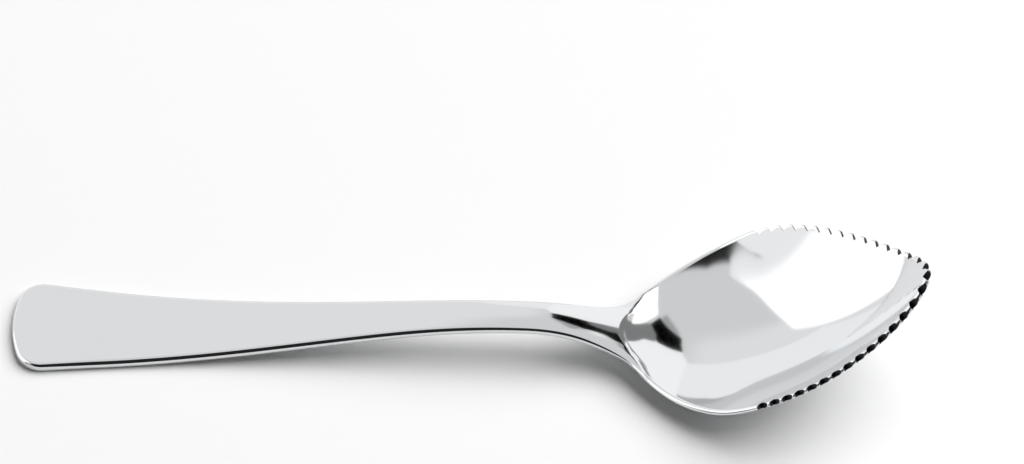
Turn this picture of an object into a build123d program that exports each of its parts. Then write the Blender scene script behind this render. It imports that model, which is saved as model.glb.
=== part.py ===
from build123d import *
from math import atan2, hypot, radians, sqrt, tan
import os

os.makedirs("parts", exist_ok=True)

# Driving dimensions, millimetres and degrees.
# The spoon lies along X, symmetric about Y = 0, with its underside on Z = 0. It is drawn from the
# handle end at X = 0 and then moved so that the origin is below its middle.
length = 160.0             # handle end to tip
end_width = 19.6           # handle end, before its corners are rounded
end_crown = 21.0           # radius of the gentle curve across the handle end
end_corner = 4.5           # radius of the two end corners
neck_width = 6.8           # narrowest place of the handle
shoulder_width = 17.2      # width where the flare from neck to bowl is steepest
bowl_width = 40.6          # widest place of the bowl

neck_from_tip = 70.0       # places along the spoon, measured back from the tip
heel_from_tip = 52.7       # where the hollow begins on the centre line
shoulder_from_tip = 50.0
dip_from_tip = 48.0        # where the handle's top runs out into the rim
lowest_from_tip = 38.0     # where the bowl touches the table
widest_from_tip = 29.0
flank_from_tip = 14.5

handle_thickness = 1.8
rim_thickness = 1.25       # wall at the rim of the widest place, measured straight down
floor_thickness = 1.5      # wall where the bowl touches the table
tip_thickness = 2.4        # wall at the tip, measured straight down

rest_length = 16.0         # stretch of the handle that lies flat on the table
neck_height = 9.1          # top of the neck's arch
heel_height = 5.4          # top of the heel, where the hollow begins
dip_height = 4.4           # top of the shoulder
tip_height = 26.2          # sharp rim at the tip, before its edge is rounded

heel_radius = 16.0         # radii of the hollow's cross-sections
dip_radius = 30.0
floor_radius = 34.0
widest_radius = 24.5
flank_radius = 16.5
tip_radius = 10.0

heel_blend = 2.5           # rounding of the hollow's edge at the neck
edge_round = 0.4           # rounding of the upper outer edge
edge_break = 0.3           # bevel of the lower outer edge

notch_count = 16           # notches along each side of the bowl
notch_depth = 1.15         # below the rounded rim
notch_angle = 86.0
first_notch_from_tip = 28.8
tip_tooth_width = 2.3      # from notch to notch across the tip
notch_spread = 0.12        # how much the notches draw apart towards the tip

# Slopes of the curves where they meet, rise over run.
taper_slope = 0.1
shoulder_slope = 1.25
heel_slope = 0.8
tip_slope = 1.7
clear_slope = 1.5

# How far each curve follows the slopes at its two ends, as shares of its reach.
taper_pull = (0.4, 0.32)
flare_pull = (0.8, 0.08)
shoulder_pull = (0.24, 0.38)
flank_pull = (0.81, -0.61)    # the second is a share of the half width, across the centre line
arch_pull = (0.41, 0.3)
descent_pull = (0.44, 0.3)
belly_pull = (0.41, 0.41)
heel_pull = (0.22, 0.44)
rise_pull = (0.5, 0.18)
even_pull = (1 / 3, 1 / 3)

# Room around the spoon for the shapes that cut it, and the steps that those are lofted in.
beyond = 5.0
ceiling = 120.0
loft_step = 5.0
mirrored_sections = 3


def between(points, t):
    """Points at the share t of the way from each point of a list to the next."""
    return [(a[0] + (b[0] - a[0]) * t, a[1] + (b[1] - a[1]) * t) for a, b in zip(points, points[1:])]


def bezier_point(points, t):
    """Point of a Bezier curve at t."""
    while len(points) > 1:
        points = between(points, t)
    return points[0]


def first_half(points):
    """Bezier curve that covers the first half of another."""
    half = [points[0]]
    while len(points) > 1:
        points = between(points, 1 / 2)
        half.append(points[0])
    return half


def value_at(chain, x):
    """Second coordinate, at x, of a chain of Bezier curves that run along x."""
    curve = next((piece for piece in chain if x <= piece[-1][0]), chain[-1])
    low, high = 0.0, 1.0
    while high - low > 1e-12:
        middle = (low + high) / 2
        if bezier_point(curve, middle)[0] < x:
            low = middle
        else:
            high = middle
    return bezier_point(curve, low)[1]


def run(start, end, start_slope, end_slope, pull=even_pull):
    """Cubic Bezier curve from start to end with the slope and the pull of each end."""
    reach = end[0] - start[0]
    a = pull[0] * reach
    b = pull[1] * reach
    return (start, (start[0] + a, start[1] + a * start_slope), (end[0] - b, end[1] - b * end_slope), end)


def from_tip(distance):
    return length - distance


def front_curve():
    """Plan of the bowl from its widest place round the tip and back to the other side, as one curve.

    Its third point lies so far out that the middle of the curve, where the six points weigh
    1, 5, 10, 10, 5 and 1, is the tip.
    """
    widest = (from_tip(widest_from_tip), bowl_width / 2)
    second = (widest[0] + flank_pull[0] * widest_from_tip, widest[1])
    third = ((16 * length - widest[0] - 5 * second[0]) / 10, flank_pull[1] * widest[1])
    side = [widest, second, third]
    return side + [(x, -y) for x, y in reversed(side)]


def outline_chain():
    """Half width along the spoon: taper, flare, shoulder and pointed flank."""
    half_end = end_width / 2
    end = (end_crown - sqrt(end_crown ** 2 - half_end ** 2), half_end)
    neck = (from_tip(neck_from_tip), neck_width / 2)
    shoulder = (from_tip(shoulder_from_tip), shoulder_width / 2)
    flank = first_half(front_curve())
    return [run(end, neck, -taper_slope, 0, taper_pull), run(neck, shoulder, 0, shoulder_slope, flare_pull),
            run(shoulder, flank[0], shoulder_slope, 0, shoulder_pull), flank]


def top_chain():
    """Top of the handle in side view. Past the shoulder it rises clear of the rim."""
    start = (-beyond, handle_thickness)
    rest = (rest_length, handle_thickness)
    neck = (from_tip(neck_from_tip), neck_height)
    dip = (from_tip(dip_from_tip), dip_height)
    clear = (from_tip(lowest_from_tip), dip_height + clear_slope * (dip_from_tip - lowest_from_tip) / 2)
    end = (length + beyond, clear[1] + clear_slope * (lowest_from_tip + beyond))
    return [run(start, rest, 0, 0), run(rest, neck, 0, 0, arch_pull), run(neck, dip, 0, 0, descent_pull),
            run(dip, clear, 0, clear_slope), run(clear, end, clear_slope, clear_slope)]


def under_chain():
    """Underside of the spoon in side view, along its centre line."""
    start = (-beyond, 0.0)
    rest = (rest_length, 0.0)
    neck = (from_tip(neck_from_tip), neck_height - handle_thickness)
    lowest = (from_tip(lowest_from_tip), 0.0)
    tip = (length, tip_height - tip_thickness)
    end = (length + beyond, tip[1] + beyond * tip_slope)
    return [run(start, rest, 0, 0), run(rest, neck, 0, 0, arch_pull), run(neck, lowest, 0, 0, belly_pull),
            run(lowest, tip, 0, tip_slope, rise_pull), run(tip, end, tip_slope, tip_slope)]


def floor_chain():
    """Inside of the bowl in side view, along its centre line."""
    heel = (from_tip(heel_from_tip), heel_height)
    start = (heel[0] - beyond, heel[1] + beyond * heel_slope)
    lowest = (from_tip(lowest_from_tip), floor_thickness)
    tip = (length, tip_height)
    end = (length + beyond, tip_height + beyond * tip_slope)
    return [run(start, heel, -heel_slope, -heel_slope), run(heel, lowest, -heel_slope, 0, heel_pull),
            run(lowest, tip, 0, tip_slope, rise_pull), run(tip, end, tip_slope, tip_slope)]


def hollow_curvature():
    """Half the curvature of the hollow's cross-sections along the bowl, as a smooth chain."""
    start = (from_tip(heel_from_tip + beyond), 0.5 / heel_radius)
    end = (length + beyond, 0.5 / tip_radius)
    places = ((heel_from_tip, heel_radius), (dip_from_tip, dip_radius), (lowest_from_tip, floor_radius),
              (widest_from_tip, widest_radius), (flank_from_tip, flank_radius), (0.0, tip_radius))
    knots = [start] + [(from_tip(back), 0.5 / radius) for back, radius in places] + [end]
    slopes = [0.0]
    for before, after in zip(knots, knots[2:]):
        slopes.append((after[1] - before[1]) / (after[0] - before[0]))
    slopes.append(0.0)
    return [run(a, b, m, n) for a, b, m, n in zip(knots, knots[1:], slopes, slopes[1:])]


def stations(start, end):
    """Evenly spaced places from start to end."""
    count = max(2, round((end - start) / loft_step))
    return [start + (end - start) * i / count for i in range(count + 1)]


def trough(x, height, curvature):
    """Section across the spoon at x: a parabola below, open up to the ceiling."""
    half = bowl_width / 2 + beyond
    rise = curvature * half * half
    left = (-half, height + rise)
    right = (half, height + rise)
    edges = [Bezier(left, (0, height - rise), right), Polyline(right, (half, ceiling), (-half, ceiling), left)]
    return Plane((x, 0, 0), x_dir=(0, 1, 0), z_dir=(1, 0, 0)) * make_face(edges)


def outline_blank(outline):
    """Blank cut to the plan outline."""
    end = outline[0][0]
    edges = [ThreePointArc((end[0], -end[1]), (0, 0), end), Bezier(*front_curve())]
    for piece in outline[:-1]:
        edges.append(Bezier(*piece))
        edges.append(Bezier(*[(x, -y) for x, y in piece]))
    face = make_face(edges)
    face = fillet(face.vertices().sort_by(Axis.X)[:2], end_corner)
    return Pos(0, 0, -beyond) * extrude(face, tip_height + 2 * beyond)


def below_top(top):
    """Everything below the handle's top line."""
    start = top[0][0]
    end = top[-1][-1]
    edges = [Bezier(*piece) for piece in top]
    edges.append(Polyline(end, (end[0], -2 * beyond), (start[0], -2 * beyond), start))
    return extrude(Plane.XZ * make_face(edges), bowl_width, both=True)


def hollow(floor, curvature):
    """The space inside the bowl, open upwards."""
    places = stations(from_tip(heel_from_tip + beyond), length + beyond)
    return loft([trough(x, value_at(floor, x), value_at(curvature, x)) for x in places])


def above_handle(under):
    """Everything above the handle's underside up to the neck: flat where it rests, then arched."""
    rest, arch = under[:2]
    start = rest[0]
    neck = arch[-1]
    edges = [Line(start, arch[0]), Bezier(*arch), Polyline(neck, (neck[0], ceiling), (start[0], ceiling), start)]
    return extrude(Plane.XZ * make_face(edges), bowl_width / 2 + beyond, both=True)


def above_bowl(under, floor, curvature):
    """Everything above the underside from the neck on: flat across at the neck, a trough below the bowl.

    The first sections stand mirrored behind the neck too, so that the loft leaves the neck level.
    """
    neck = from_tip(neck_from_tip)
    heel = from_tip(heel_from_tip)

    def under_curvature(x):
        wall = value_at(floor, x) - value_at(under, x)
        return value_at(curvature, x) + (wall - rim_thickness) / (bowl_width / 2) ** 2

    fade = [run((neck, 0), (heel, under_curvature(heel)), 0, 0)]
    places = stations(neck, length + beyond)
    sections = []
    for x in [2 * neck - x for x in places[mirrored_sections:0:-1]] + places:
        source = max(x, 2 * neck - x)
        bend = value_at(fade, source) if source < heel else under_curvature(source)
        sections.append(trough(x, value_at(under, source), bend))
    return split(loft(sections), Plane((neck, 0, 0), z_dir=(1, 0, 0)))


def gradient(x, y, floor, curvature):
    """Slopes of the hollow along X and Y at a place inside it."""
    step = 0.01
    ahead = value_at(floor, x + step) + value_at(curvature, x + step) * y * y
    behind = value_at(floor, x - step) + value_at(curvature, x - step) * y * y
    return (ahead - behind) / (2 * step), 2 * value_at(curvature, x) * y


def notch_places(flank):
    """Parameters on the flank curve where notches go, drawing apart a little towards the tip."""
    steps = 2000
    points = [bezier_point(flank, i / steps) for i in range(steps + 1)]
    travel = [0.0]
    for a, b in zip(points, points[1:]):
        travel.append(travel[-1] + hypot(b[0] - a[0], b[1] - a[1]))
    first = next(i for i, p in enumerate(points) if p[0] >= from_tip(first_notch_from_tip))
    last = next(i for i, p in enumerate(points) if p[1] <= tip_tooth_width / 2)
    places = []
    for k in range(notch_count):
        share = k / (notch_count - 1)
        share += notch_spread * (share * share - share)
        wanted = travel[first] + share * (travel[last] - travel[first])
        places.append(next(i for i, s in enumerate(travel) if s >= wanted) / steps)
    return places


def notch_cutters(outline, floor, curvature):
    """V-shaped prisms, square to the wall of the bowl, that leave the teeth along the rim.

    Each is deeper by what the rounding takes off the sharp corner of the rim.
    """
    flank = outline[-1]
    step = 0.0005
    cutters = []
    for t in notch_places(flank):
        x, y = bezier_point(flank, t)
        before = bezier_point(flank, t - step)
        after = bezier_point(flank, t + step)
        along = Vector(after[0] - before[0], after[1] - before[1]).normalized()
        outward = Vector(-along.Y, along.X)
        slope_x, slope_y = gradient(x, y, floor, curvature)
        rim = Vector(x, y, value_at(floor, x) + value_at(curvature, x) * y * y)
        rim_way = Vector(along.X, along.Y, slope_x * along.X + slope_y * along.Y).normalized()
        up_wall = Vector(outward.X, outward.Y, slope_x * outward.X + slope_y * outward.Y).normalized()
        through = rim_way.cross(up_wall)
        corner = atan2(1, slope_x * outward.X + slope_y * outward.Y)
        depth = notch_depth + edge_round * (1 / tan(corner / 2) - 1)
        reach = 2 * depth * tan(radians(notch_angle / 2))
        vee = make_face(Polyline((0, -depth), (reach, depth), (-reach, depth), close=True))
        cutter = Plane(rim, x_dir=rim_way, z_dir=through) * extrude(vee, tip_thickness + edge_round, both=True)
        cutters.append(cutter)
        cutters.append(mirror(cutter, Plane.XZ))
    return cutters


def heel_edges(spoon, outline):
    """Edges where the hollow cuts into the handle's top."""
    found = ShapeList()
    for edge in spoon.edges():
        middle = edge @ 0.5
        inside = abs(middle.Y) < value_at(outline, middle.X) - edge_round / 4
        near_heel = from_tip(heel_from_tip) <= middle.X <= from_tip(lowest_from_tip)
        if inside and near_heel and middle.Z > dip_height / 2:
            found.append(edge)
    return found


def wall_edges(spoon, facing):
    """Edges where the wall that the outline cut meets the faces that look up, 1, or down, -1."""
    upright = 0.02
    walls, others = ShapeList(), ShapeList()
    for face in spoon.faces():
        tilt = face.normal_at(face.center()).Z
        if abs(tilt) < upright:
            walls += face.edges()
        elif tilt * facing > 0:
            others += face.edges()
    return walls & others


def spoon_solid():
    outline = outline_chain()
    floor = floor_chain()
    under = under_chain()
    curvature = hollow_curvature()
    spoon = outline_blank(outline) & below_top(top_chain())
    spoon = spoon & (above_handle(under) + above_bowl(under, floor, curvature))
    spoon = spoon - hollow(floor, curvature)
    spoon = fillet(heel_edges(spoon, outline), heel_blend)
    spoon = fillet(wall_edges(spoon, 1), edge_round)
    spoon = chamfer(wall_edges(spoon, -1), edge_break)
    spoon = spoon - notch_cutters(outline, floor, curvature)
    return Pos(-length / 2, 0, 0) * spoon


spoon = spoon_solid()
print("spoon", round(spoon.volume, 1), "mm3", len(spoon.solids()), "solid", spoon.is_valid)
export_step(spoon, "parts/spoon.step")
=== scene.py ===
import math

import bmesh
import bpy
import numpy as np
from mathutils import Matrix, Vector


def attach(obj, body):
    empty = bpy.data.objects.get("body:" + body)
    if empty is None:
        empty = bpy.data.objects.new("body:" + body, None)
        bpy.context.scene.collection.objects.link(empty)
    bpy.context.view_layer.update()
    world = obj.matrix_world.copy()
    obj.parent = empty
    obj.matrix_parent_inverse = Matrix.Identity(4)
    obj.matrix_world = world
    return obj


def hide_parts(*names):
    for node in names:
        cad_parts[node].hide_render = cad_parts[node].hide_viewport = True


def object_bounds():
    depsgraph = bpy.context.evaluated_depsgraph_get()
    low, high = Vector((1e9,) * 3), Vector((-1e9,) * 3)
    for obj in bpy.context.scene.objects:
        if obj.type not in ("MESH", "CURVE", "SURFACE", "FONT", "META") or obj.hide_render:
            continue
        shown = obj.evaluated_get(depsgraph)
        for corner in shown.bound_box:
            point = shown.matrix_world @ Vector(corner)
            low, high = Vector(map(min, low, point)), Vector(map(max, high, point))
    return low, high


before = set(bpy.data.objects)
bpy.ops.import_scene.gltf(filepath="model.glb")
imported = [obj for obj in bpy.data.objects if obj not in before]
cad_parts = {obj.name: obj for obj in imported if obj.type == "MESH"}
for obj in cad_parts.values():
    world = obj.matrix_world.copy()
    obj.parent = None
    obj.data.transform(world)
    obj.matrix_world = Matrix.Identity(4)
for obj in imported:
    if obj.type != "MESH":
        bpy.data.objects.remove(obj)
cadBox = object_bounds()
scene = bpy.context.scene
scene.view_settings.view_transform = "Standard"
mm = 0.001
print("frame loaded, nodes", sorted(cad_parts))

# spoon: sizes in mm, x counted from the handle end, "Back" counted back from the tip
spoonValues = dict(
    length=160.0,
    endWidth=19.6, endCrown=21.0, endCorner=4.5,     # handle end: width, curve across it, corners
    neckWidth=6.8, shoulderWidth=17.2, bowlWidth=40.6,
    neckBack=70.0, heelBack=52.7, shoulderBack=50.0, dipBack=48.0,
    lowestBack=38.0, widestBack=29.0, flankBack=14.5,
    handleThick=1.8, rimThick=1.25, floorThick=1.5, tipThick=2.4,
    restLength=16.0, neckHeight=9.1, heelHeight=5.4, dipHeight=4.4, tipHeight=26.2,
    heelRadius=16.0, dipRadius=30.0, floorRadius=34.0,   # how the hollow bends across
    widestRadius=24.5, flankRadius=16.5, tipRadius=10.0,
    crownRadius=12.5,         # the neck is rounded across
    crownFrom=68.0, crownFull=94.0, crownEase=101.0, crownTo=113.0,
    lift=0.6,                 # and raised before the heel
    liftFrom=90.0, liftFull=107.0, liftHold=111.0, liftTo=122.0,
    heelBlend=0.25,           # depth over which the handle's top runs into the hollow
    edgeShare=0.96,           # edge rounding, as a share of half the wall
    endShare=0.7, endReach=14.0,     # less of it at the handle end
    notchCount=16, notchDepth=1.15, notchAngle=86.0,
    firstNotchBack=28.8, tipToothWidth=2.3, notchSpread=0.12,
    beyond=5.0,               # curves run on this far past the bowl
    slopes=dict(taper=0.1, shoulder=1.25, heel=0.8, tip=1.7, clear=1.5),
    pulls=dict(               # how far a curve keeps to its slope at either end
        taper=(0.4, 0.32), flare=(0.8, 0.08), shoulder=(0.24, 0.38), flank=(0.81, -0.61),
        arch=(0.41, 0.3), descent=(0.44, 0.3), belly=(0.41, 0.41), heel=(0.22, 0.44),
        rise=(0.5, 0.18), even=(1 / 3, 1 / 3),
    ),
    grid=dict(                # how finely the surface is sampled
        end=16, corner=14, taper=80, flare=72, shoulder=70, leadIn=14, perTooth=20, tip=14,
        across=24, under=16, strip=7, arc=9, wall=3,
        lineSteps=2000, planSteps=4000, arcSteps=400,
        leadShare=0.7,        # closer rings begin this share of a tooth before the first notch
        margin=2.3, crowding=0.6,    # strip along the edge, with its lines closer towards the edge
        lean=0.7, leanEnd=60.0, leanFrom=100.0, leanRun=50.0,
        weld=0.002, sharpAngle=35.0,
    ),
)


def fromTip(back):
    return spoonValues["length"] - back


def bezierPoints(points, t):
    # Bezier curve of any degree: control points weighed by the binomial shares of t
    degree = len(points) - 1
    shares = [math.comb(degree, i) * (1 - t) ** (degree - i) * t ** i for i in range(degree + 1)]
    return sum(share[:, None] * np.array(point, float) for share, point in zip(shares, points))


def run(start, end, startSlope, endSlope, pull=spoonValues["pulls"]["even"]):
    # cubic from start to end, leaving and arriving at the given slopes
    reach = end[0] - start[0]
    a, b = pull[0] * reach, pull[1] * reach
    return [start, (start[0] + a, start[1] + a * startSlope), (end[0] - b, end[1] - b * endSlope), end]


def lineAlong(pieces):
    # value at x of a chain of Bezier pieces that run along x
    t = np.linspace(0, 1, spoonValues["grid"]["lineSteps"])
    points = np.concatenate([bezierPoints(piece, t) for piece in pieces])
    return lambda x: np.interp(x, points[:, 0], points[:, 1])


def sideLines():
    # along the centre line: handle top, underside and hollow's floor as chains of cubics,
    # and the factor of y squared by which the hollow rises from its floor
    z = spoonValues
    m, p, beyond = z["slopes"], z["pulls"], z["beyond"]
    end = z["length"] + beyond
    neck, dip, lowest, heel = (fromTip(z[k]) for k in ("neckBack", "dipBack", "lowestBack", "heelBack"))
    clear = (lowest, z["dipHeight"] + m["clear"] * (lowest - dip) / 2)
    top = lineAlong([
        run((-beyond, z["handleThick"]), (z["restLength"], z["handleThick"]), 0, 0),
        run((z["restLength"], z["handleThick"]), (neck, z["neckHeight"]), 0, 0, p["arch"]),
        run((neck, z["neckHeight"]), (dip, z["dipHeight"]), 0, 0, p["descent"]),
        run((dip, z["dipHeight"]), clear, 0, m["clear"]),
        run(clear, (end, clear[1] + m["clear"] * (end - lowest)), m["clear"], m["clear"]),
    ])
    underNeck = (neck, z["neckHeight"] - z["handleThick"])
    underTip = (z["length"], z["tipHeight"] - z["tipThick"])
    under = lineAlong([
        run((-beyond, 0), (z["restLength"], 0), 0, 0),
        run((z["restLength"], 0), underNeck, 0, 0, p["arch"]),
        run(underNeck, (lowest, 0), 0, 0, p["belly"]),
        run((lowest, 0), underTip, 0, m["tip"], p["rise"]),
        run(underTip, (end, underTip[1] + beyond * m["tip"]), m["tip"], m["tip"]),
    ])
    heelTop, tip = (heel, z["heelHeight"]), (z["length"], z["tipHeight"])
    floor = lineAlong([
        run((heel - beyond, z["heelHeight"] + beyond * m["heel"]), heelTop, -m["heel"], -m["heel"]),
        run(heelTop, (lowest, z["floorThick"]), -m["heel"], 0, p["heel"]),
        run((lowest, z["floorThick"]), tip, 0, m["tip"], p["rise"]),
        run(tip, (end, tip[1] + beyond * m["tip"]), m["tip"], m["tip"]),
    ])
    places = dict(heel=heel, dip=dip, floor=lowest, widest=fromTip(z["widestBack"]),
                  flank=fromTip(z["flankBack"]), tip=z["length"])
    knots = [(x, 0.5 / z[name + "Radius"]) for name, x in places.items()]
    knots = [(heel - beyond, knots[0][1])] + knots + [(end, knots[-1][1])]
    slopes = [0.0] + [(b[1] - a[1]) / (b[0] - a[0]) for a, b in zip(knots, knots[2:])] + [0.0]
    bend = lineAlong([run(a, b, s, e) for a, b, s, e in zip(knots, knots[1:], slopes, slopes[1:])])
    return top, under, floor, bend


topLine, underLine, floorLine, hollowBend = sideLines()


def eased(x, places, shares):
    # shares between 0 and 1 at places along x, joined by smooth steps
    share = np.interp(x, places, shares)
    return share * share * (3 - 2 * share)


def underBend(x):
    # the wall thins towards the rim as the square of y; under the neck the bend fades out
    z = spoonValues
    neck, heel = fromTip(z["neckBack"]), fromTip(z["heelBack"])

    def bowlBend(at):
        thinning = floorLine(at) - underLine(at) - z["rimThick"]
        return hollowBend(at) + thinning / (z["bowlWidth"] / 2) ** 2

    return np.where(x < heel, bowlBend(heel) * eased(x, [neck, heel], [0, 1]), bowlBend(x))


def topHeight(x, y):
    # lower of the handle's top and the hollow, rounded over where they cross
    z = spoonValues
    hollow = floorLine(x) + hollowBend(x) * y * y
    swell = eased(x, [z["crownFrom"], z["crownFull"], z["crownEase"], z["crownTo"]], [0, 1, 1, 0])
    raised = eased(x, [z["liftFrom"], z["liftFull"], z["liftHold"], z["liftTo"]], [0, 1, 1, 0])
    handle = topLine(x) + raised * z["lift"] - swell * y * y / (2 * z["crownRadius"])
    blend = z["heelBlend"]
    near = np.maximum(blend - np.abs(hollow - handle), 0) / blend
    height = np.minimum(hollow, handle) - near * near * blend / 4
    return np.where(x < fromTip(z["heelBack"]) - z["beyond"], handle, height)


def underHeight(x, y):
    # parabola across, on the underside's centre line
    return underLine(x) + underBend(x) * y * y


def halfOutline():
    # plan of one side: crowned end, round corner, taper, flare, shoulder, and half of the front curve
    z = spoonValues
    m, p, g = z["slopes"], z["pulls"], z["grid"]
    t = np.linspace(0, 1, g["planSteps"])
    neck = (fromTip(z["neckBack"]), z["neckWidth"] / 2)
    shoulder = (fromTip(z["shoulderBack"]), z["shoulderWidth"] / 2)
    widest = (fromTip(z["widestBack"]), z["bowlWidth"] / 2)

    # corner circle: its middle lies inside the taper by its radius, where it also touches the crown
    crown, corner = z["endCrown"], z["endCorner"]
    endX = crown - math.sqrt(crown ** 2 - (z["endWidth"] / 2) ** 2)
    taper = bezierPoints(run((endX, z["endWidth"] / 2), neck, -m["taper"], 0, p["taper"]), t)
    along = np.gradient(taper, axis=0)
    along /= np.linalg.norm(along, axis=1)[:, None]
    inset = taper + corner * np.stack([along[:, 1], -along[:, 0]], 1)
    miss = np.hypot(inset[:, 0] - crown, inset[:, 1]) - (crown - corner)
    touch = int(np.argmax(miss < 0))
    part = miss[touch - 1] / (miss[touch - 1] - miss[touch])
    middle = inset[touch - 1] + part * (inset[touch] - inset[touch - 1])
    meets = taper[touch - 1] + part * (taper[touch] - taper[touch - 1])
    first = math.atan2(middle[1], middle[0] - crown)
    last = math.atan2(*(meets - middle)[::-1])
    endArc = np.linspace(math.pi, first, g["arcSteps"])
    cornerArc = np.linspace(first, last, g["arcSteps"])

    # front: one curve of the fifth degree from side to side, whose middle is the tip
    second = (widest[0] + p["flank"][0] * z["widestBack"], widest[1])
    third = ((16 * z["length"] - widest[0] - 5 * second[0]) / 10, p["flank"][1] * widest[1])
    front = [widest, second, third] + [(x, -y) for x, y in (third, second, widest)]
    return [
        np.stack([crown + crown * np.cos(endArc), crown * np.sin(endArc)], 1),
        middle + corner * np.stack([np.cos(cornerArc), np.sin(cornerArc)], 1),
        np.concatenate([[meets], taper[touch:]]),
        bezierPoints(run(neck, shoulder, 0, m["shoulder"], p["flare"]), t),
        bezierPoints(run(shoulder, widest, m["shoulder"], 0, p["shoulder"]), t),
        bezierPoints(front, t / 2),
    ]


def outlineStations():
    # places along the outline where the rings stand, the way out from each, and how deep a notch it cuts:
    # less by the distance along the rim to the nearest valley, over the tangent of half the notch angle
    z = spoonValues
    g = z["grid"]
    parts = halfOutline()
    plan = np.concatenate([parts[0]] + [part[1:] for part in parts[1:]])
    plan[0, 1] = plan[-1, 1] = 0.0
    travel = np.concatenate([[0], np.cumsum(np.hypot(*np.diff(plan, axis=0).T))])
    joints = [0.0]
    for part in parts:
        joints.append(joints[-1] + np.hypot(*np.diff(part, axis=0).T).sum())
    rim = floorLine(plan[:, 0]) + hollowBend(plan[:, 0]) * plan[:, 1] ** 2
    steps = np.sqrt((np.diff(plan, axis=0) ** 2).sum(1) + np.diff(rim) ** 2)
    rimTravel = np.concatenate([[0], np.cumsum(steps)])

    flank = travel >= joints[5]
    firstAt = travel[flank][np.argmax(plan[flank, 0] >= fromTip(z["firstNotchBack"]))]
    lastAt = travel[flank][np.argmax(plan[flank, 1] <= z["tipToothWidth"] / 2)]
    share = np.linspace(0, 1, z["notchCount"])
    share = share + z["notchSpread"] * (share * share - share)
    valleys = firstAt + share * (lastAt - firstAt)
    lead = valleys[0] - (valleys[1] - valleys[0]) * g["leadShare"]

    def spaced(a, b, count):
        return np.linspace(a, b, count, endpoint=False)

    counts = [g["end"], g["corner"], g["taper"], g["flare"]]
    at = [spaced(a, b, n) for a, b, n in zip(joints, joints[1:], counts)]
    at += [spaced(joints[4], lead, g["shoulder"]), spaced(lead, valleys[0], g["leadIn"])]
    at += [spaced(a, b, g["perTooth"]) for a, b in zip(valleys, valleys[1:])]
    at += [np.linspace(valleys[-1], travel[-1], g["tip"])]
    at = np.concatenate(at)

    def read(values):
        return np.interp(at, travel, values)

    tiny = 1e-9                       # keeps doubled points apart
    tangent = np.gradient(plan, travel + np.arange(len(travel)) * tiny, axis=0)
    normal = np.stack([-read(tangent[:, 1]), read(tangent[:, 0])], 1)
    normal /= np.linalg.norm(normal, axis=1)[:, None]
    normal[0], normal[-1] = (-1, 0), (1, 0)
    place = np.stack([read(plan[:, 0]), read(plan[:, 1])], 1)
    away = np.abs(read(rimTravel)[:, None] - np.interp(valleys, travel, rimTravel)[None, :])
    notch = -(away / math.tan(math.radians(z["notchAngle"] / 2))).min(1)    # 0 in a valley
    return place, normal, notch


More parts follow.
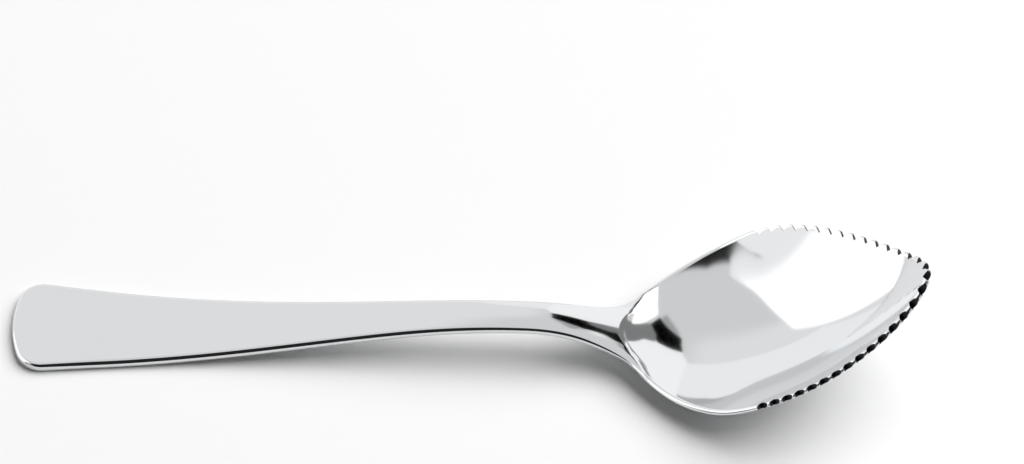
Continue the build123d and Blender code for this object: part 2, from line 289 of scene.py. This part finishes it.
def spoonSheet():
    # half of the skin: each ring runs from the centre line over the top, round the edge and back below
    z = spoonValues
    g = z["grid"]
    place, normal, notch = outlineStations()
    px, py, nx, ny = (v[:, None] for v in (*place.T, *normal.T))

    def atOffset(offset):
        return px + nx * offset, py + ny * offset

    def slopeOut(height, offset):
        step = 0.05
        return (height(*atOffset(offset + step)) - height(*atOffset(offset - step))) / (2 * step)

    # radius of the rounding: a share of half the wall, measured square to the slope near the edge
    nearEdge = np.full_like(px, -0.6)
    wall = topHeight(px, py) - underHeight(px, py)
    rise = slopeOut(topHeight, nearEdge)
    edgeShare = z["endShare"] + (z["edgeShare"] - z["endShare"]) * eased(px, [0, z["endReach"]], [0, 1])
    radius = edgeShare * wall / np.sqrt(1 + rise * rise) / 2
    rise = slopeOut(topHeight, -radius * (1 + rise / np.sqrt(1 + rise * rise)))
    fall = slopeOut(underHeight, -radius * 0.5)
    tilt = np.arctan(rise)

    # upper rounding: circle below the top, tangent to it and to the upright wall
    startAngle = np.arctan2(1, -rise)
    topTouch = -radius * (1 - np.cos(startAngle))
    topTouchHeight = topHeight(*atOffset(topTouch))
    topMiddle = topTouchHeight - radius * np.sin(startAngle)
    sharpRim = topTouchHeight - rise * topTouch
    # lower rounding: the same on the underside
    endAngle = np.arctan2(-1, fall)
    underTouch = -radius * (1 - np.cos(endAngle))
    underTouchHeight = underHeight(*atOffset(underTouch))
    underMiddle = underTouchHeight - radius * np.sin(endAngle)

    # notches are measured from the rounded rim, so what the rounding takes off the sharp one is added
    corner = np.arctan2(1, rise)
    lost = radius * (1 / np.tan(corner / 2) - 1)
    depth = notch[:, None] + z["notchDepth"] + lost        # below the sharp rim, along the slope

    share = np.linspace(0, 1, g["strip"]) ** g["crowding"]
    topEdge = np.minimum(topTouch, -depth * np.cos(tilt))
    topOffsets = -g["margin"] + (topEdge + g["margin"]) * share[None, :]
    topStrip = (*atOffset(topOffsets), topHeight(*atOffset(topOffsets)))

    underSharp = underTouchHeight - fall * underTouch - sharpRim
    underCut = (-depth - underSharp * np.sin(tilt)) / (np.cos(tilt) + fall * np.sin(tilt))
    underEdge = np.minimum(underTouch, underCut)
    underOffsets = -g["margin"] + (underEdge + g["margin"]) * share[None, ::-1]
    underStrip = (*atOffset(underOffsets), underHeight(*atOffset(underOffsets)))

    # edge: upper arc, wall and lower arc; the notches clip what stands above their depth along the slope
    step = np.linspace(0, 1, g["arc"])[None, :]
    upper = startAngle * (1 - step)
    lower = endAngle * step
    wallShare = np.linspace(0, 1, g["wall"] + 2)[None, 1:-1]
    offset = np.concatenate([
        -radius + radius * np.cos(upper[:, 1:]), 0 * wallShare + 0 * radius,
        (-radius + radius * np.cos(lower))[:, :-1]], 1)
    height = np.concatenate([
        topMiddle + radius * np.sin(upper[:, 1:]), topMiddle + (underMiddle - topMiddle) * wallShare,
        (underMiddle + radius * np.sin(lower))[:, :-1]], 1) - sharpRim
    upSlope = offset * np.cos(tilt) + height * np.sin(tilt)
    through = -offset * np.sin(tilt) + height * np.cos(tilt)
    edgeCut = upSlope >= -depth
    upSlope = np.minimum(upSlope, -depth)
    edgeOffset = upSlope * np.cos(tilt) - through * np.sin(tilt)
    edgeHeight = sharpRim + upSlope * np.sin(tilt) + through * np.cos(tilt)
    edge = (*atOffset(edgeOffset), edgeHeight)

    # inner lines lean back near the handle end and forward near the tip, so that none crosses another
    marginX, marginY = atOffset(np.full_like(px, -g["margin"]))
    back = np.clip(1 - px / g["leanEnd"], 0, 1)
    forward = np.clip((px - g["leanFrom"]) / g["leanRun"], 0, 1)
    centreX = marginX + g["lean"] * (back - forward) * marginY

    def inner(count, height):
        u = np.linspace(0, 1, count, endpoint=False)[None, :]
        x, y = centreX + (marginX - centreX) * u, marginY * u
        return x, y, height(x, y)

    rings = [inner(g["across"], topHeight), topStrip, edge, underStrip,
             tuple(v[:, ::-1] for v in inner(g["under"], underHeight))]
    sheet = np.stack([np.concatenate([ring[i] for ring in rings], 1) for i in range(3)], 2)
    # points clipped by a notch: where the painted notch shade and the rougher finish go
    cut = np.zeros(sheet.shape[:2], bool)
    first = g["across"] + g["strip"]
    last = first + edgeCut.shape[1]
    cut[:, first:last] = edgeCut
    cut[:, first - 1] = (topEdge < topTouch)[:, 0]
    cut[:, last] = (underEdge < underTouch)[:, 0]
    return sheet, cut


def skinMesh(name, half, cut):
    # the half grid and its mirror image as quads, welded along the centre line and at both ends;
    # faces with all four corners on a notch are marked in the notch mask, where the material paints shade
    # and makes the steel rougher
    g = spoonValues["grid"]
    rows, columns = half.shape[:2]
    other = half * np.array([1, -1, 1])
    points = np.concatenate([half.reshape(-1, 3), other.reshape(-1, 3)]) * mm
    index = np.arange(rows * columns).reshape(rows, columns)
    quads = np.stack([index[:-1, :-1], index[1:, :-1], index[1:, 1:], index[:-1, 1:]], 2).reshape(-1, 4)
    faces = np.concatenate([quads, quads[:, ::-1] + rows * columns])
    mesh = bpy.data.meshes.new(name)
    mesh.from_pydata(points.tolist(), [], faces.tolist())
    # mask of the notch faces, which the material uses for painted shade and a rougher finish
    mark = mesh.attributes.new("cut", "FLOAT", "FACE")
    mark.data.foreach_set("value", np.concatenate([cut, cut]).reshape(-1)[faces].all(1).astype(np.float32))
    work = bmesh.new()
    work.from_mesh(mesh)
    bmesh.ops.remove_doubles(work, verts=work.verts, dist=g["weld"] * mm)
    bmesh.ops.dissolve_degenerate(work, edges=work.edges, dist=g["weld"] * mm)
    bmesh.ops.recalc_face_normals(work, faces=work.faces)
    work.to_mesh(mesh)
    work.free()
    mesh.shade_smooth()
    mesh.set_sharp_from_angle(angle=math.radians(g["sharpAngle"]))
    return mesh


def makeSpoon():
    half, cut = spoonSheet()
    half = half - np.array([spoonValues["length"] / 2, 0, 0])
    piece = bpy.data.objects.new("steel_spoon", skinMesh("steel_spoon", half, cut))
    scene.collection.objects.link(piece)
    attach(piece, "root")
    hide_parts("spoon")
    print("spoon", len(piece.data.vertices), "points", len(piece.data.polygons), "faces")
    return piece


def wire(tree, socket, value):
    # a link from another node's output, or a plain value
    if hasattr(value, "links"):
        tree.links.new(value, socket)
    else:
        socket.default_value = value


def mixed(tree, share, a, b, kind="FLOAT"):
    # a where the share is 0, b where it is 1
    node = tree.nodes.new("ShaderNodeMix")
    node.data_type = kind
    sockets = [socket for socket in node.inputs if socket.enabled]
    for socket, value in zip(sockets, (share, a, b)):
        wire(tree, socket, value)
    return next(socket for socket in node.outputs if socket.enabled)


# mirror finish; the notch faces are rougher and painted near black, which is painted shade in the notches
steel = dict(
    polished=(0.72, 0.73, 0.74, 1), roughness=(0.06, 0.1),
    # painted shade: the near-black colour on the notch faces stands in for the shade in the notches
    cut=(0.045, 0.045, 0.05, 1), cutRoughness=0.4,
    hazeSize=0.012, hazeDetail=4.0,
)


def steelMaterial():
    material = bpy.data.materials.new("polished steel")
    material.use_nodes = True
    tree = material.node_tree
    nodes, link = tree.nodes, tree.links.new
    shader = nodes["Principled BSDF"]
    shader.inputs["Metallic"].default_value = 1.0
    # notch mask: rougher finish, and painted shade in the colour
    cut = nodes.new("ShaderNodeAttribute")
    cut.attribute_name = "cut"
    haze = nodes.new("ShaderNodeTexNoise")
    haze.inputs["Scale"].default_value = 1 / steel["hazeSize"]
    haze.inputs["Detail"].default_value = steel["hazeDetail"]
    link(nodes.new("ShaderNodeTexCoord").outputs["Object"], haze.inputs["Vector"])
    polish = mixed(tree, haze.outputs["Fac"], *steel["roughness"])
    roughness = mixed(tree, cut.outputs["Fac"], polish, steel["cutRoughness"])
    # painted shade: notch faces coloured near black
    colour = mixed(tree, cut.outputs["Fac"], steel["polished"], steel["cut"], "RGBA")
    link(roughness, shader.inputs["Roughness"])
    link(colour, shader.inputs["Base Color"])
    return material


makeSpoon().data.materials.append(steelMaterial())

table = dict(halfSize=3.0, colour=(0.95, 0.95, 0.95, 1), roughness=0.6)


def makeTable():
    low, size = cadBox[0], table["halfSize"]
    corners = [(-size, -size, low.z), (size, -size, low.z), (size, size, low.z), (-size, size, low.z)]
    mesh = bpy.data.meshes.new("table")
    mesh.from_pydata(corners, [], [(0, 1, 2, 3)])
    floor = bpy.data.objects.new("table", mesh)
    scene.collection.objects.link(floor)
    material = bpy.data.materials.new("white table")
    material.use_nodes = True
    shader = material.node_tree.nodes["Principled BSDF"]
    shader.inputs["Base Color"].default_value = table["colour"]
    shader.inputs["Roughness"].default_value = table["roughness"]
    mesh.materials.append(material)
    print("table at height", round(low.z, 5))


makeTable()

# studio round the spoon: panels by the compass bearings and heights of their corners, in degrees
# (bearing 0 = away from the camera, 90 = towards the tip); a later panel lies over an earlier one,
# and soft is the width of a panel's edges, or of each edge
studio = dict(
    ceiling=0.82, onTable=0.1,       # light overhead; what the table gets from all sides
    darkSide=dict(facing=(-0.27, 1.0, 0.14), soft=0.05, level=0.02),     # the open room behind the camera
    panels=[
        dict(corners=[(-80, -25), (-60, 52), (20, 52), (12, 36), (12, -25)], soft=16, level=0.97),
        dict(corners=[(-50, -25), (-50, 25.8), (12, 36.4), (12, -25)], soft=0.6, level=1.1),
        dict(corners=[(-14, -25), (-14, 0), (2, 7.5), (13, 9), (13, -25)], soft=1, level=0.55),
        dict(corners=[(17, 45), (23, 55), (32, 58.5), (48, 59), (48, 45)], soft=3, level=0.45),
        dict(corners=[(15.5, 43.5), (20.5, 53), (50, 53.5), (50, 42), (33, 40.5)], soft=0.8, level=0.0),
        dict(corners=[(33, 36), (38, 44), (50, 45), (60, 24), (62, 8), (40, 2)], soft=2, level=0.26),
        dict(corners=[(11, -25), (11, 37), (15.5, 43.5), (33, 40.5), (37, 37.5),
                      (41.5, 32), (43.5, 22), (42, 8), (42, -25)], soft=1, level=1.18),
        dict(corners=[(54, 42), (54, 53), (82, 53), (75, 30), (58, 25)], soft=2, level=1.7),
        dict(corners=[(-100, 30), (-100, 64), (-112, 67.5), (-120.7, 60), (-122.8, 42), (-122.8, 30)],
             soft=1.5, level=1.1),
        dict(corners=[(-112, 24), (-112, 47.2), (-138, 47.2), (-138, 24)], soft=1, level=1.1),
        dict(corners=[(-60, -25), (-55, 8), (-44, 42), (-76, 60), (-108, 66), (-114, 55),
                      (-118, 27), (-118.5, -25)], soft=(4, 4, 1.5, 1.5, 8, 8, 3, 1.5), level=1.5),
        dict(corners=[(104, 2), (104, 46), (138, 40), (138, 2)], soft=6, level=0.6),
        dict(corners=[(-138, 2), (-138, 24), (-152, 24), (-152, 2)], soft=4, level=0.5),
        dict(corners=[(52, -25), (52, -2), (66, 10), (100, 16), (100, -25)], soft=2, level=0.05),
    ],
)


def makeWorld():
    world = bpy.data.worlds.new("studio")
    scene.world = world
    world.use_nodes = True
    tree = world.node_tree
    nodes, link = tree.nodes, tree.links.new
    where = nodes.new("ShaderNodeTexCoord").outputs["Generated"]

    def inFront(plane, soft):
        # 0 behind a plane through the spoon, 1 in front of it, smooth over the soft width
        along = nodes.new("ShaderNodeVectorMath")
        along.operation = "DOT_PRODUCT"
        link(where, along.inputs[0])
        along.inputs[1].default_value = plane
        step = nodes.new("ShaderNodeMapRange")
        step.interpolation_type = "SMOOTHSTEP"
        link(along.outputs["Value"], step.inputs["Value"])
        step.inputs["From Min"].default_value = -soft / 2
        step.inputs["From Max"].default_value = soft / 2
        return step.outputs["Result"]

    def times(a, b):
        node = nodes.new("ShaderNodeMath")
        node.operation = "MULTIPLY"
        wire(tree, node.inputs[0], a)
        wire(tree, node.inputs[1], b)
        return node.outputs[0]

    dark = studio["darkSide"]
    level = mixed(tree, inFront(dark["facing"], dark["soft"]), dark["level"], studio["ceiling"])
    for panel in studio["panels"]:
        bearing, height = np.radians(np.array(panel["corners"], float)).T
        flat = np.cos(height)
        rays = np.stack([np.sin(bearing) * flat, np.cos(bearing) * flat, np.sin(height)], 1)
        edges = np.cross(np.roll(rays, -1, axis=0), rays)      # each edge is a plane through the spoon
        edges *= np.sign(edges @ rays.mean(0))[:, None]        # that looks into the panel
        edges /= np.linalg.norm(edges, axis=1)[:, None]
        softs = np.radians(np.broadcast_to(panel["soft"], len(edges))).tolist()
        inside = 1.0
        for edge, soft in zip(edges, softs):
            inside = times(inFront(edge, soft), inside)
        level = mixed(tree, inside, level, panel["level"])
    path = nodes.new("ShaderNodeLightPath").outputs
    level = mixed(tree, path["Is Glossy Ray"], studio["onTable"], level)
    level = mixed(tree, path["Is Camera Ray"], level, 1.0)
    link(level, nodes["Background"].inputs["Strength"])
    nodes["Background"].inputs["Color"].default_value = (1, 1, 1, 1)
    print("studio", len(studio["panels"]), "panels")


makeWorld()

# one large soft lamp behind the tip lays the shadow towards the camera
keyLight = dict(place=(1.56, 0.9, 2.4), size=(3.4, 3.4), watts=146.0)


def makeKeyLight():
    k = keyLight
    lamp = bpy.data.lights.new("key", "AREA")
    lamp.shape = "RECTANGLE"
    lamp.size, lamp.size_y = k["size"]
    lamp.energy = k["watts"]
    holder = bpy.data.objects.new("key", lamp)
    scene.collection.objects.link(holder)
    aim = (-Vector(k["place"])).to_track_quat("-Z", "Y")
    holder.matrix_world = Matrix.Translation(k["place"]) @ aim.to_matrix().to_4x4()
    holder.visible_glossy = False           # the studio panels are what the steel mirrors
    holder.visible_camera = False
    print("key light", k["watts"], "watts")


makeKeyLight()

# camera: what it looks at on the table, from how far, and how it is turned
photoView = dict(
    target=(7.69 * mm, 26.19 * mm, 0.0), distance=1495 * mm,
    elevation=50.0, swing=-2.27, roll=3.63,
    pixelsPerMm=5.614, imageWidth=1024, sensorWidth=36.0, clipEnd=20.0,
)


def makeCamera():
    v = photoView
    camera = bpy.data.objects.new("camera", bpy.data.cameras.new("camera"))
    scene.collection.objects.link(camera)
    e, a, r = (math.radians(v[k]) for k in ("elevation", "swing", "roll"))
    back = Vector((math.sin(a) * math.cos(e), -math.cos(a) * math.cos(e), math.sin(e)))
    right = Vector((math.cos(a), math.sin(a), 0))
    up = back.cross(right)
    x = right * math.cos(r) + up * math.sin(r)
    y = up * math.cos(r) - right * math.sin(r)
    turn = Matrix((x, y, back)).transposed().to_4x4()
    camera.matrix_world = Matrix.Translation(Vector(v["target"]) + back * v["distance"]) @ turn
    camera.data.sensor_width = v["sensorWidth"]
    camera.data.lens = v["pixelsPerMm"] * v["distance"] / mm / v["imageWidth"] * v["sensorWidth"]
    camera.data.clip_end = v["clipEnd"]
    scene.camera = camera
    print("camera lens", round(camera.data.lens, 1))


makeCamera()
